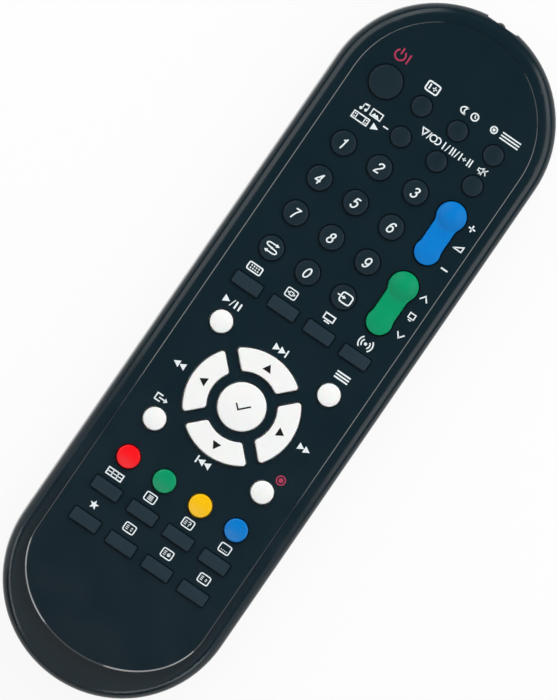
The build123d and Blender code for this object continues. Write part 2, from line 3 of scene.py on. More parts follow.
import bpy
import numpy as np
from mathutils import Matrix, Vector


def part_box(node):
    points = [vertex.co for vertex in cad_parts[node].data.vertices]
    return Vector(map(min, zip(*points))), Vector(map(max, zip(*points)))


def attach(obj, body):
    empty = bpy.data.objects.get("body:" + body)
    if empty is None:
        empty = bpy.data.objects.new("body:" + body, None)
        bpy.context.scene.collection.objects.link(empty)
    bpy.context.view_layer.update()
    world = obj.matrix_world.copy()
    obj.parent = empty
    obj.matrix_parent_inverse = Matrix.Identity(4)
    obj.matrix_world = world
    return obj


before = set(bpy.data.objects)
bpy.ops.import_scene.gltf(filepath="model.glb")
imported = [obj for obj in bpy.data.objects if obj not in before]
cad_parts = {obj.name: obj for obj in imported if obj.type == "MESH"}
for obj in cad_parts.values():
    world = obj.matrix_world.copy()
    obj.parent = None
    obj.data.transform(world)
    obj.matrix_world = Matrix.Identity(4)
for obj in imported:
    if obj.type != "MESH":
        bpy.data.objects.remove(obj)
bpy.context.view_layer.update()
mm = 0.001

# Case: an upper and a lower half and the sliding battery cover, injection moulded in dark blue-grey ABS.
# The mould leaves a fine satin grain, and the halves meet in a chamfered seam round the waist.


def shade(red, green, blue):
    """Linear colour from 0 to 255 screen values: below 0.04 the curve is a line, above it a power of 2.4."""
    c = np.array([red, green, blue]) / 255
    return np.where(c <= 0.04045, c / 12.92, ((c + 0.055) / 1.055) ** 2.4)


cloud_scale = 110.0
satin_span = (0.3, 0.7)
satin_swing = 0.04


def new_finish(name, colour, rough, drift=0.06, grain=0.16, depth=0.002, **sockets):
    """Material whose colour and roughness drift with a slow noise over some 9 mm, and whose surface is
    raised by a fine noise: grain is its size and depth its height, both in mm. The rest are values for the
    shader's own sockets."""
    made = bpy.data.materials.new(name)
    made.use_nodes = True
    tree = made.node_tree
    shader = tree.nodes["Principled BSDF"]
    for socket, value in sockets.items():
        shader.inputs[socket.replace("_", " ")].default_value = value
    place = tree.nodes.new("ShaderNodeTexCoord")
    slow = tree.nodes.new("ShaderNodeTexNoise")
    slow.inputs["Scale"].default_value = cloud_scale
    slow.inputs["Detail"].default_value = 4.0
    fine = tree.nodes.new("ShaderNodeTexNoise")
    fine.inputs["Scale"].default_value = 1.0 / (grain * mm)
    fine.inputs["Detail"].default_value = 2.0
    tint = tree.nodes.new("ShaderNodeMix")
    tint.data_type = "RGBA"
    tint.inputs["A"].default_value = (*(colour * (1 - drift)), 1)
    tint.inputs["B"].default_value = (*(colour * (1 + drift)), 1)
    satin = tree.nodes.new("ShaderNodeMapRange")
    satin.inputs["From Min"].default_value, satin.inputs["From Max"].default_value = satin_span
    satin.inputs["To Min"].default_value = rough - satin_swing
    satin.inputs["To Max"].default_value = rough + satin_swing
    raised = tree.nodes.new("ShaderNodeBump")
    raised.inputs["Distance"].default_value = depth * mm
    for source, target in (
        (place.outputs["Object"], slow.inputs["Vector"]),
        (place.outputs["Object"], fine.inputs["Vector"]),
        (slow.outputs["Fac"], tint.inputs["Factor"]),
        (slow.outputs["Fac"], satin.inputs["Value"]),
        (fine.outputs["Fac"], raised.inputs["Height"]),
        (tint.outputs["Result"], shader.inputs["Base Color"]),
        (satin.outputs["Result"], shader.inputs["Roughness"]),
        (raised.outputs["Normal"], shader.inputs["Normal"]),
    ):
        tree.links.new(source, target)
    return made


def dress(finish, *nodes):
    """Gives the CAD nodes a finish in place of their plain one."""
    for node in nodes:
        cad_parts[node].data.materials.clear()
        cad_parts[node].data.materials.append(finish)


case_colour = shade(17, 35, 43)
case_plastic = new_finish("case_plastic", case_colour, 0.20, depth=0.0008, Specular_IOR_Level=0.3)
dress(case_plastic, "upper_case", "lower_case", "battery_cover")

# Panel edge: the key panel ends in a fine bevel that is polished in the mould, a bright hairline round the
# keys. It is widest round the chin, where the panel stands clear of the falling rim.
panel_half = 25.4
panel_crown_row = 69.85
panel_chin_row = -70.4
panel_chin_depth = 21.0
panel_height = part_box("upper_case")[1].z / mm
bevel_inner = 0.2
bevel_outer = 0.04
bevel_chin = 0.16
bevel_crown_share = 0.2
bevel_fall = math.tan(math.radians(29))
bevel_foot = 0.3
bevel_count = 97
lift = 0.01


def swept_bar(rings):
    """Points and faces of a closed bar whose edges are equally long rings of points. Each face spans two
    neighbours on one ring and the same two on the next. The faces look outward where the rings turn
    anticlockwise and are listed from the upper inner edge outward and down."""
    n = len(rings[0])
    here = np.arange(n)
    there = (here + 1) % n
    starts = n * np.arange(len(rings))
    quads = [
        np.stack([here + a, here + b, there + b, there + a], 1) for a, b in zip(starts, np.roll(starts, -1))
    ]
    return np.vstack(rings), np.vstack(quads).tolist()


def bevel_ring():
    """Bar of four edges swept round the panel: a half circle, straight sides and half an ellipse. Its width
    falls with the eighth power of the cosine round the upper end, and swells with the root of the sine
    round the chin. It is lifted a hundredth of a millimetre clear of the panel."""
    turn = np.radians(np.linspace(0, 180, bevel_count))
    crown = np.stack([panel_half * np.cos(turn), panel_crown_row + panel_half * np.sin(turn)], 1)
    chin = np.stack([-panel_half * np.cos(turn), panel_chin_row - panel_chin_depth * np.sin(turn)], 1)
    line = np.vstack([crown, chin])
    way = np.roll(line, -1, 0) - np.roll(line, 1, 0)
    out = np.stack([way[:, 1], -way[:, 0]], 1) / np.linalg.norm(way, axis=1)[:, None]
    swell = np.concatenate([np.zeros(bevel_count), np.sin(turn) ** 0.5])
    crown_share = bevel_crown_share + (1 - bevel_crown_share) * np.cos(turn) ** 8
    share = np.concatenate([crown_share, np.ones(bevel_count)])
    inner = bevel_inner * share
    reach = bevel_outer * share + bevel_chin * swell
    top = np.full(len(line), panel_height + lift)
    low = top - (inner + reach) * bevel_fall
    foot = np.full(len(line), panel_height - bevel_foot)
    offsets = [(-inner, top), (reach, low), (reach, foot), (-inner, foot)]
    return swept_bar([np.column_stack([line + o[:, None] * out, height]) for o, height in offsets])


def new_piece(name, verts, faces, finish):
    """Object at the origin, from points in mm and the faces between them."""
    mesh = bpy.data.meshes.new(name)
    mesh.from_pydata((np.asarray(verts) * mm).tolist(), [], faces)
    mesh.materials.append(finish)
    piece = bpy.data.objects.new(name, mesh)
    bpy.context.scene.collection.objects.link(piece)
    return piece


polished = new_finish("polished_bevel", case_colour, 0.11, depth=0.0, Specular_IOR_Level=0.85)
bevel = new_piece("panel_bevel", *bevel_ring(), polished)
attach(bevel, "case")

# Infrared window: one smooth lens of smoked plastic that is nearly black to the eye, clipped into the end
# wall. The polished nub in the notch is its only part that shows.
smoked_plastic = new_finish("smoked_plastic", shade(24, 18, 26), 0.12, depth=0.0002, Coat_Weight=0.6)
dress(smoked_plastic, "ir_window")

# Dark keys: silicone caps of one colour with the panel but a little lighter, matt enough to look soft.
# The round ones have a low crown, and the flat ones a rounded edge.
flat_keys = ["digital", "wide", "monitor", "radio", "guide", "text", "reveal", "subtitle"]
flat_keys += ["favourite", "hold", "index", "subpage"]
small_keys = ["power", "info", "sleep", "list", "media", "sound", "mute"]
number_keys = ["swap", "input"] + [f"number_{digit}" for digit in range(10)]
dark_round = new_finish("dark_silicone", shade(16, 35, 44), 0.42, grain=0.12, Specular_IOR_Level=0.2)
dark_flat = new_finish("flat_silicone", shade(27, 46, 56), 0.48, grain=0.12, Specular_IOR_Level=0.2)
dress(dark_round, *[f"{name}_key" for name in small_keys + number_keys])
dress(dark_flat, *[f"{name}_key" for name in flat_keys])

# Crowns: the flat keys' tops swell softly towards the middle, where the silicone is thickest. A crown is one
# with its key, which has a wide flange under the panel.
flange_reach = 1.0
pillow_rise = 0.16
pillow_edge = 0.3
pillow_root = 0.05
pillow_count = 17


def plate(top, under):
    """Points and faces of a closed plate between two grids of points, with walls along their border."""
    rows, columns = top.shape[:2]
    n = rows * columns
    i = np.arange(n).reshape(rows, columns)
    quads = np.stack([i[:-1, :-1], i[:-1, 1:], i[1:, 1:], i[1:, :-1]], -1).reshape(-1, 4)
    border = np.concatenate([i[0, :-1], i[:-1, -1], i[-1, :0:-1], i[:0:-1, 0]])
    after = np.roll(border, -1)
    walls = np.stack([border + n, after + n, after, border], 1)
    verts = np.vstack([top.reshape(-1, 3), under.reshape(-1, 3)])
    return verts, np.vstack([quads, quads[:, ::-1] + n, walls]).tolist()


def smooth(mesh):
    """Smooth shading that stops at corners."""
    mesh.shade_smooth()
    mesh.set_sharp_from_angle(angle=math.radians(40))


def pillow(node):
    """Soft crown on a flat key's top: a plate whose height falls from the middle by the fourth power across
    the key's width and by the square across its depth, closed by a level underside."""
    low, high = (np.array(end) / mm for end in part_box(node))
    middle = (low + high)[:2] / 2
    half = (high - low)[:2] / 2 - flange_reach - pillow_edge
    share = np.linspace(-1, 1, pillow_count)
    u, v = np.meshgrid(share, share)
    height = high[2] + pillow_rise * (1 - u**4) * (1 - v**2) + lift
    top = np.stack([middle[0] + half[0] * u, middle[1] + half[1] * v, height], -1)
    under = top.copy()
    under[..., 2] = high[2] - pillow_root
    crowned_top = new_piece(node.replace("_key", "_crown"), *plate(top, under), dark_flat)
    smooth(crowned_top.data)
    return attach(crowned_top, node)


for name in flat_keys:
    pillow(f"{name}_key")

# Lips: the dark keys' silicone swells out a little above its flange and closes most of the gap to the panel.
# Each lip is moulded in one with its key, and moves with it.
lip_depth = 0.3
lip_thickness = 0.3
lip_inset = 0.1
hole_gap = 0.3
lip_gap = 0.05
flat_corner = 0.4
least_step = 0.01


def key_lip(node, corner=math.inf, count=12):
    """Closed band round a key's foot. Its outline is a rectangle with round corners, or a circle where the
    corner's radius is half the key's width; the section is a bar of four edges, swept round it. Where two
    corners' arcs meet, as they do on a circle, the point that they share is kept once."""
    low, high = (np.array(end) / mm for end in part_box(node))
    middle = (low + high)[:2] / 2
    half = (high - low)[:2] / 2 - flange_reach
    radius = min(*half, corner)
    turn = np.radians(np.linspace(0, 90, count) + [[0], [90], [180], [270]]).ravel()
    out = np.stack([np.cos(turn), np.sin(turn)], 1)
    centres = np.repeat([(1, 1), (-1, 1), (-1, -1), (1, -1)], count, axis=0) * (half - radius)
    line = centres + radius * out
    apart = np.linalg.norm(np.roll(line, -1, 0) - line, axis=1) > least_step
    out, centres = out[apart], centres[apart]
    top = panel_height - lip_depth
    reach = hole_gap - lip_gap
    section = (
        (-lip_inset, top),
        (reach, top - lip_inset),
        (reach, top - lip_thickness),
        (-lip_inset, top - lip_thickness),
    )
    rings = [
        np.column_stack([middle + centres + (radius + stand) * out, np.full(len(out), height)])
        for stand, height in section
    ]
    lip = new_piece(node.replace("_key", "_lip"), *swept_bar(rings), dark_round)
    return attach(lip, node)


for name in small_keys + number_keys:
    key_lip(f"{name}_key")
for name in flat_keys:
    key_lip(f"{name}_key", flat_corner, 4)

# White keys: translucent white silicone, which lets a little light into its edges.
# The ring is four separate keys round a larger one in the middle.
ring_keys = ["up", "left", "down", "right"]
white_silicone = new_finish(
    "white_silicone",
    shade(247, 248, 246),
    0.42,
    drift=0.01,
    grain=0.12,
    Subsurface_Weight=0.15,
    Subsurface_Scale=0.0006,
    Specular_IOR_Level=0.3,
)
dress(white_silicone, *[f"{name}_key" for name in ["play", "menu", "end", "record", "ok"] + ring_keys])

# Coloured keys and rockers: silicone dyed right through. The blue and the green rocker tilt on their
# trunnions. A skin over each rounds off the foot of its two domes, which run into the waist between them.
lobe_row = 5.335
upper_lobe = (3.6, 1.1)
lower_lobe = (3.1, 0.4)
waist_half = 2.75
blend_reach = 0.35
neck_blend = 0.3
tip_half = 0.02
skin_root = 0.15
skin_across = 33
skin_along = 81


def soft_max(first, second, blend):
    """The larger of two values, rounded off where they lie closer than the blend: half of their sum, plus
    half of the root of their difference squared and the blend squared."""
    return (first + second + np.sqrt((first - second) ** 2 + blend**2)) / 2


def rocker_skin(node, silicone):
    """Closed plate over a rocker's top. Each dome is a ball's cap whose radius follows from its foot and
    height. The top is the soft maximum of both domes and the level waist; its edge and its ends keep the
    sharp maximum. Its rows lie closer towards both ends, by a cosine."""
    low, high = (np.array(end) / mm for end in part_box(node))
    middle = (low + high)[:2] / 2 - (0, (upper_lobe[0] - lower_lobe[0]) / 2)
    waist_top = high[2] - upper_lobe[1]
    end_row, start_row = lobe_row + upper_lobe[0], -lobe_row - lower_lobe[0]
    along = np.cos(np.linspace(0, np.pi, skin_along))
    y = (end_row + start_row) / 2 - (end_row - start_row) / 2 * along
    lobes = [(lobe_row, *upper_lobe), (-lobe_row, *lower_lobe)]
    widths = [np.sqrt(np.maximum(foot**2 - (y - row) ** 2, 0)) for row, foot, _ in lobes]
    neck = np.where(np.abs(y) < lobe_row, waist_half, 0)
    half = np.maximum(soft_max(np.maximum(*widths), neck, neck_blend * (neck > 0)), tip_half)
    u, v = np.meshgrid(np.linspace(-1, 1, skin_across), y)
    x = u * half[:, None]
    sharp, soft = np.zeros_like(x), np.zeros_like(x)
    for row, foot, rise in lobes:
        ball = (foot**2 + rise**2) / (2 * rise)
        dome = np.sqrt(np.maximum(ball**2 - x**2 - (v - row) ** 2, 0)) - ball + rise
        sharp = np.maximum(sharp, dome)
        soft = soft_max(soft, dome, blend_reach)
    inward = (1 - u**4) * np.clip(2 - 2 * np.abs(v) / lobe_row, 0, 1)
    height = waist_top + sharp + (soft - sharp) * inward + lift
    top = np.stack([middle[0] + x, middle[1] + v, height], -1)
    under = top.copy()
    under[..., 2] = waist_top - skin_root
    skin = new_piece(node.replace("_rocker", "_skin"), *plate(top, under), silicone)
    smooth(skin.data)
    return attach(skin, node)


colours = {
    "red": shade(252, 6, 22),
    "green": shade(0, 152, 102),
    "yellow": shade(254, 196, 0),
    "blue": shade(0, 124, 206),
}
dyed = {"drift": 0.03, "grain": 0.12, "Subsurface_Weight": 0.1, "Subsurface_Scale": 0.0004}
for name, colour in colours.items():
    dress(new_finish(f"{name}_silicone", colour, 0.30, Specular_IOR_Level=0.3, **dyed), f"{name}_key")
for name, node in (("green", "programme_rocker"), ("blue", "volume_rocker")):
    rocker_silicone = new_finish(
        f"{name}_rocker_silicone", colours[name], 0.45, Specular_IOR_Level=0.12, **dyed
    )
    dress(rocker_silicone, node)
    rocker_skin(node, rocker_silicone)

# Keypad mat, grey silicone in one sheet, and the parts on the board under it, out of sight in a closed case.
# The board is glass fibre with a green mask, the chip moulded epoxy, and the resonator dipped in blue paint.
dress(new_finish("mat_silicone", shade(150, 152, 154), 0.55, grain=0.12), "keypad_mat")
dress(new_finish("board_mask", shade(18, 96, 48), 0.25, drift=0.2, grain=0.5, depth=0.01), "circuit_board")
dress(new_finish("chip_epoxy", shade(30, 30, 32), 0.5, grain=0.08, depth=0.004), "controller_chip")
dress(new_finish("ceramic_paint", shade(40, 90, 160), 0.3), "resonator")
dress(new_finish("can_sleeve", shade(38, 42, 70), 0.3), "capacitor")
dress(new_finish("clear_resin", shade(190, 200, 225), 0.08, depth=0.0, Transmission_Weight=0.6), "ir_led")

# Battery contacts, springs and screws: nickel plated spring steel and zinc plated steel, with the fine
# brushed grain of rolled strip and drawn wire.
nickel = new_finish("nickel_plate", shade(205, 203, 196), 0.28, grain=0.06, depth=0.003, Metallic=1.0)
zinc = new_finish("zinc_plate", shade(188, 192, 196), 0.34, grain=0.08, depth=0.003, Metallic=1.0)
dress(nickel, "contact_plates", "battery_springs")
dress(zinc, "case_screws")

# Cells: two AAA cells laid head to tail. Each has a grey printed film with one orange band at its positive
# end, and bare steel at both ends. The band's place is counted the other way along the right cell.
cell_middle = -57.25 * mm
film_ends = (-24.0 * mm, 17.6 * mm)
band_end = -14.0 * mm
band_colour = shade(214, 112, 28)
steel_colour = shade(200, 200, 198)
cell_film = new_finish("cell_film", shade(98, 104, 110), 0.32, grain=0.3, depth=0.001)
cells = cell_film.node_tree
shader = cells.nodes["Principled BSDF"]
axes = cells.nodes.new("ShaderNodeSeparateXYZ")
cells.links.new(cells.nodes["Texture Coordinate"].outputs["Object"], axes.inputs["Vector"])


def reckon(tree, operation, first, second):
    """Math node in a material's tree on two values, each a number or another node's output."""
    made = tree.nodes.new("ShaderNodeMath")
    made.operation = operation
    for socket, value in zip(made.inputs, (first, second)):
        if isinstance(value, float):
            socket.default_value = value
        else:
            tree.links.new(value, socket)
    return made.outputs["Value"]


right_cell = reckon(cells, "GREATER_THAN", axes.outputs["X"], 0.0)
side = reckon(cells, "SUBTRACT", reckon(cells, "MULTIPLY", right_cell, 2.0), 1.0)
along = reckon(cells, "MULTIPLY", side, reckon(cells, "SUBTRACT", axes.outputs["Y"], cell_middle))
past_start = reckon(cells, "GREATER_THAN", along, film_ends[0])
before_end = reckon(cells, "LESS_THAN", along, film_ends[1])
on_film = reckon(cells, "MULTIPLY", past_start, before_end)
banded = cells.nodes.new("ShaderNodeMix")
banded.data_type = "RGBA"
banded.inputs["B"].default_value = (*band_colour, 1)
cells.links.new(cells.nodes["Mix"].outputs["Result"], banded.inputs["A"])
cells.links.new(reckon(cells, "LESS_THAN", along, band_end), banded.inputs["Factor"])
ends = cells.nodes.new("ShaderNodeMix")
ends.data_type = "RGBA"
ends.inputs["A"].default_value = (*steel_colour, 1)
cells.links.new(on_film, ends.inputs["Factor"])
cells.links.new(banded.outputs["Result"], ends.inputs["B"])
cells.links.new(ends.outputs["Result"], shader.inputs["Base Color"])
cells.links.new(reckon(cells, "SUBTRACT", 1.0, on_film), shader.inputs["Metallic"])
dress(cell_film, "battery_cells")

# Printing: pad-printed ink, a few hundredths of a millimetre thick, on the panel beside the keys and on some
# keys. Every sign is made of even strokes and plain filled shapes, given in mm in the panel's own places.
ink_height = 0.02
ink_body = 0.03
stroke = 0.42
hair = 0.24
curve_steps = 8
barrel_count = 48
pen_step = 0.25
mitre_least = 0.3


def curved(points):
    """Smooth line through the points: between two of them it is the cubic whose slope at each point is half
    the step between that point's neighbours."""
    p = np.asarray(points, float)
    q = np.vstack([2 * p[:1] - p[1:2], p, 2 * p[-1:] - p[-2:-1]])
    a, b, c, d = q[:-3], q[1:-2], q[2:-1], q[3:]
    t = np.linspace(0, 1, curve_steps, endpoint=False)[:, None, None]
    span = b + (c - a) * t / 2 + (2 * a - 5 * b + 4 * c - d) * t**2 / 2 + (3 * b - a - 3 * c + d) * t**3 / 2
    return np.vstack([span.transpose(1, 0, 2).reshape(-1, 2), p[-1:]])


def arc(x, y, radius, start=0.0, end=360.0, flat=1.0, count=24):
    """Points round a circle, or an ellipse flat times as high as wide, between two angles in degrees."""
    turn = np.radians(np.linspace(start, end, count, endpoint=abs(end - start) < 360))
    return np.stack([x + radius * np.cos(turn), y + flat * radius * np.sin(turn)], 1)


def barrel(x, y, width, height, power=6.5):
    """Closed outline like an old screen's: the powers of x and y over their half sizes add up to one."""
    turn = np.linspace(0, 2 * np.pi, barrel_count, endpoint=False)
    c, s = np.cos(turn), np.sin(turn)
    round_x, round_y = (np.sign(v) * np.abs(v) ** (2 / power) for v in (c, s))
    return np.stack([x + width / 2 * round_x, y + height / 2 * round_y], 1)


def pen(points, width=stroke, closed=False):
    """Even stroke along a line: its sides stand off by half the width along each corner's mitre, which is
    the two normals' sum over one plus their product. Long runs are divided, so that it can follow a dome."""
    p = np.asarray(points, float)
    ring = np.vstack([p, p[:1]]) if closed else p
    reach = np.concatenate([[0], np.cumsum(np.linalg.norm(np.diff(ring, axis=0), axis=1))])
    stations = np.union1d(np.arange(0, reach[-1], pen_step), reach)
    stations = stations[np.concatenate([[True], np.diff(stations) > 1e-6])]
    line = np.stack([np.interp(stations, reach, ring[:, 0]), np.interp(stations, reach, ring[:, 1])], 1)
    line = line[:-1] if closed else line
    way = np.roll(line, -1, 0) - line
    way[-1] = way[-1] if closed else way[-2]
    way /= np.linalg.norm(way, axis=1)[:, None]
    before = np.roll(way, 1, 0)
    before[0] = before[0] if closed else way[0]
    normal, earlier = (np.stack([-v[:, 1], v[:, 0]], 1) for v in (way, before))
    bend = np.maximum(1 + (normal * earlier).sum(1), mitre_least)[:, None]
    mitre = (normal + earlier) / bend * width / 2
    count = len(line)
    here = np.arange(count if closed else count - 1)
    there = (here + 1) % count
    quads = np.stack([here, here + count, there + count, there], 1)
    return np.vstack([line + mitre, line - mitre]), quads.tolist()


def filled(points):
    """Solid shape inside a line that turns anticlockwise."""
    p = np.asarray(points, float)
    return p, [list(range(len(p)))]


def bar(x0, y0, x1, y1, width=stroke):
    """Straight stroke."""
    return pen([(x0, y0), (x1, y1)], width)


def arrow_head(x, y, length, half, turn=0):
    """Filled triangle whose point is length ahead of x, y, turned in degrees from +X."""
    shape = np.array([(0, -half), (length, 0), (0, half)])
    c, s = math.cos(math.radians(turn)), math.sin(math.radians(turn))
    return filled(shape @ np.array([(c, s), (-s, c)]) + (x, y))


def print_sign(name, parts, ink, body, height, place=(0, 0), lean=0.0):
    """Joins the parts into one mesh on a surface and gives it the ink's thickness. height tells how high the
    surface lies over each point, and lean shears the sign to the right, as a slanted digit."""
    starts = np.cumsum([0] + [len(points) for points, made in parts[:-1]])
    xy = np.vstack([points for points, made in parts])
    xy = xy + np.outer(lean * xy[:, 1], (1, 0)) + place
    verts = np.column_stack([xy, height(xy) + ink_height])
    faces = [[start + i for i in face] for start, (points, made) in zip(starts, parts) for face in made]
    sign = new_piece(name, verts, faces, ink)
    thick = sign.modifiers.new("ink", "SOLIDIFY")
    thick.thickness = ink_body * mm
    thick.offset = -1.0
    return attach(sign, body)


def level(xy):
    """Height of the panel, which is level, over each point."""
    return np.full(len(xy), panel_height)


white_ink = new_finish("white_ink", shade(232, 240, 243), 0.5, drift=0.02, grain=0.1, depth=0.001)
red_ink = new_finish("red_ink", shade(174, 42, 82), 0.5, drift=0.03, grain=0.1, depth=0.001)
black_ink = new_finish("black_ink", shade(14, 14, 16), 0.5, grain=0.1, depth=0.001, Specular_IOR_Level=0.2)


def lines(x0, x1, *heights, width=hair):
    """Short level strokes under each other, as on a page of text."""
    return [bar(x0, y, x1, y, width) for y in heights]


def page_frame(x, y):
    """Small screen outline that the signs for text pages share."""
    return pen(barrel(x, y, 3.02, 2.3), 0.32, closed=True)


power_sign = [
    pen(arc(-17.2, 78.75, 1.4, 125, 415)),
    bar(-17.2, 79.0, -17.2, 80.75),
    bar(-14.8, 77.55, -14.8, 80.2),
]
record_sign = [filled(arc(18.65, -26.6, 0.62)), pen(arc(18.65, -26.6, 1.15), 0.3, closed=True)]

signs = [
    # row of the power key: screen with a plus, moon and clock, dot and list
    pen(barrel(-5.75, 76.5, 3.45, 2.5), closed=True),
    bar(-6.6, 75.75, -6.6, 77.25, 0.4),
    bar(-5.75, 76.5, -4.55, 76.5, 0.34),
    bar(-5.15, 75.9, -5.15, 77.1, 0.34),
    pen(curved([(4.65, 77.35), (3.55, 77.2), (2.95, 76.45), (3.5, 75.65), (4.65, 75.5)]), 0.36),
    pen(curved([(4.65, 77.35), (4.1, 76.75), (4.1, 76.05), (4.65, 75.5)]), 0.36),
    pen(arc(7.1, 76.42, 0.95), 0.36, closed=True),
    pen([(7.1, 77.0), (7.1, 76.42), (7.5, 76.2)], 0.26),
    pen(arc(12.9, 76.5, 0.85), 0.36, closed=True),
    filled(arc(12.9, 76.5, 0.4, count=12)),
    *lines(15.1, 20.6, 77.3, 76.5, 75.7, width=0.36),
    # row of the sound key: note, picture, film and arrow; wedge, rings and bars; crossed loudspeaker
    filled(arc(-17.9, 62.2, 0.42, count=12)),
    filled(arc(-16.55, 62.35, 0.42, count=12)),
    bar(-17.6, 62.2, -17.6, 63.8, 0.26),
    bar(-16.25, 62.35, -16.25, 63.95, 0.26),
    bar(-17.72, 63.62, -16.13, 63.78, 0.45),
    pen([(-15.1, 62.0), (-12.1, 62.0), (-12.1, 63.75), (-15.1, 63.75)], 0.3, closed=True),
    filled([(-14.7, 62.2), (-12.6, 62.2), (-13.3, 63.0), (-13.75, 62.65), (-14.1, 63.1)]),
    pen([(-18.8, 59.05), (-14.3, 59.05), (-14.3, 60.85), (-18.8, 60.85)], 0.34, closed=True),
    *[bar(x, 59.05, x, 60.85, 0.26) for x in (-17.7, -15.4)],
    *[bar(x, y, x + 0.4, y, 0.3) for x in (-18.45, -15.05) for y in (59.55, 60.3)],
    arrow_head(-13.1, 59.95, 1.9, 0.95),
    bar(-10.65, 61.5, -9.15, 61.5, 0.34),
    pen([(-2.15, 67.05), (-0.35, 67.05), (-1.25, 65.35)], 0.34, closed=True),
    *[bar(x, 65.1, x + 0.45, 67.15, 0.26) for x in (0.0, 5.65, 8.45)],
    pen(arc(1.55, 66.15, 0.88), 0.34, closed=True),
    pen(arc(2.75, 66.15, 0.88, -115, 115), 0.34),
    *[bar(x, 65.1, x, 67.15, 0.36) for x in (4.75, 7.0, 7.75, 9.75, 12.2, 12.95)],
    bar(10.45, 66.1, 11.45, 66.1, 0.3),
    bar(10.95, 65.6, 10.95, 66.6, 0.3),
    pen(
        [(15.2, 65.85), (15.75, 65.85), (16.45, 65.3), (16.45, 67.1), (15.75, 66.55), (15.2, 66.55)],
        0.26,
        closed=True,
    ),
    bar(15.75, 65.2, 17.6, 67.15, 0.26),
    bar(16.75, 66.75, 17.6, 65.6, 0.26),
    # right of the rockers: plus, wedge, minus; up, screen, down
    bar(21.5, 52.8, 23.4, 52.8, 0.4),
    bar(22.45, 51.85, 22.45, 53.75, 0.4),
    pen([(21.15, 46.35), (23.5, 46.35), (23.5, 47.75)], 0.34, closed=True),
    bar(21.5, 40.4, 23.45, 40.4, 0.42),
    pen([(21.5, 30.9), (22.55, 32.25), (23.6, 30.9)], 0.36),
    pen([(21.65, 25.5), (23.25, 25.5), (23.25, 26.8), (21.65, 26.8)], 0.32, closed=True),
    bar(22.0, 24.95, 22.9, 24.95, 0.3),
    pen([(21.6, 21.1), (22.65, 19.75), (23.7, 21.1)], 0.36),
    # over the upper flat keys: dotted screen, wide screen, monitor on its foot, waves
    pen(barrel(-17.0, 13.7, 3.9, 2.0, 8.0), 0.38, closed=True),
    *[filled(arc(x, y, 0.22, count=8)) for x in (-18.05, -17.35, -16.65, -15.95) for y in (13.35, 14.05)],
    page_frame(-5.8, 13.7),
    pen([(-6.25, 13.25), (-5.35, 13.25), (-5.35, 14.15), (-6.25, 14.15)], hair, closed=True),
    arrow_head(-6.5, 13.7, 0.5, 0.34, 180),
    arrow_head(-5.1, 13.7, 0.5, 0.34),
    pen([(4.1, 13.4), (6.9, 13.4), (6.9, 14.85), (4.1, 14.85)], 0.38, closed=True),
    bar(4.7, 12.8, 6.3, 12.8, 0.38),
    bar(5.5, 12.8, 5.5, 13.3, 0.4),
    filled(arc(16.75, 13.8, 0.42, count=12)),
    *[pen(arc(16.75, 13.8, r, a - 48, a + 48, count=12), 0.36) for r in (1.15, 1.95) for a in (0, 180)],
    # round the white keys: play and pause, three bars, skip, search, leave
    arrow_head(-19.3, 3.4, 1.8, 1.0),
    bar(-17.1, 2.4, -16.4, 4.4, 0.26),
    bar(-15.65, 2.4, -15.65, 4.4, 0.5),
    bar(-14.5, 2.4, -14.5, 4.4, 0.5),
    *lines(14.7, 18.7, 4.35, 3.55, 2.75, width=0.42),
    arrow_head(-1.95, 0.45, 1.75, 1.0),
    arrow_head(-0.2, 0.45, 1.75, 1.0),
    bar(1.85, -0.55, 1.85, 1.45, 0.42),
    arrow_head(-17.35, -16.8, 1.7, 0.95, 180),
    arrow_head(-19.05, -16.8, 1.7, 0.95, 180),
    arrow_head(17.3, -16.8, 1.7, 0.95),
    arrow_head(19.0, -16.8, 1.7, 0.95),
    arrow_head(1.95, -33.95, 1.75, 1.0, 180),
    arrow_head(0.2, -33.95, 1.75, 1.0, 180),
    bar(-1.85, -34.95, -1.85, -32.95, 0.42),
    pen([(-17.8, -25.75), (-19.4, -25.75), (-19.4, -27.45), (-17.8, -27.45)], 0.36),
    bar(-18.5, -26.6, -16.7, -26.6, 0.36),
    arrow_head(-16.9, -26.6, 0.9, 0.68),
    # over the lower flat keys: programme table, three text pages, star, three text pages
    pen([(-18.9, -49.8), (-14.5, -49.8), (-14.5, -48.05), (-18.9, -48.05)], 0.36, closed=True),
    bar(-18.9, -48.95, -14.5, -48.95, 0.26),
    *[bar(x, -49.8, x, -48.05, 0.26) for x in (-17.4, -15.95)],
    *[page_frame(x, y) for x in (-5.95, 5.5, 16.75) for y in (-48.75, -58.05)],
    *lines(-6.65, -5.25, -48.25, -48.6, -48.95, -49.3, width=0.2),
    *lines(4.45, 5.15, -48.3, -48.75, -49.2, width=0.2),
    pen(
        curved([(5.5, -48.45), (5.75, -48.2), (6.15, -48.3), (6.15, -48.65), (5.85, -48.9), (5.85, -49.1)]),
        0.22,
    ),
    filled(arc(5.85, -49.32, 0.13, count=8)),
    *[filled(arc(x, -49.25, 0.14, count=8)) for x in (16.0, 16.5, 17.0, 17.5)],
    *[part for x in (-6.95, 4.5, 15.75) for part in lines(x, x + 0.7, -57.6, -58.05, -58.5, width=0.2)],
    arrow_head(-5.35, -57.9, 0.42, 0.36, 90),
    arrow_head(-5.35, -58.2, 0.42, 0.36, 270),
    filled(arc(6.0, -58.1, 0.45, count=14)),
    arrow_head(5.95, -57.85, 0.5, 0.3, 60),
    arrow_head(17.35, -57.95, 0.36, 0.32, 90),
    arrow_head(17.35, -58.15, 0.36, 0.32, 270),
]
star_turns = np.radians(90 + 36 * np.arange(10))
star_reach = np.where(np.arange(10) % 2 == 0, 1.3, 0.56)
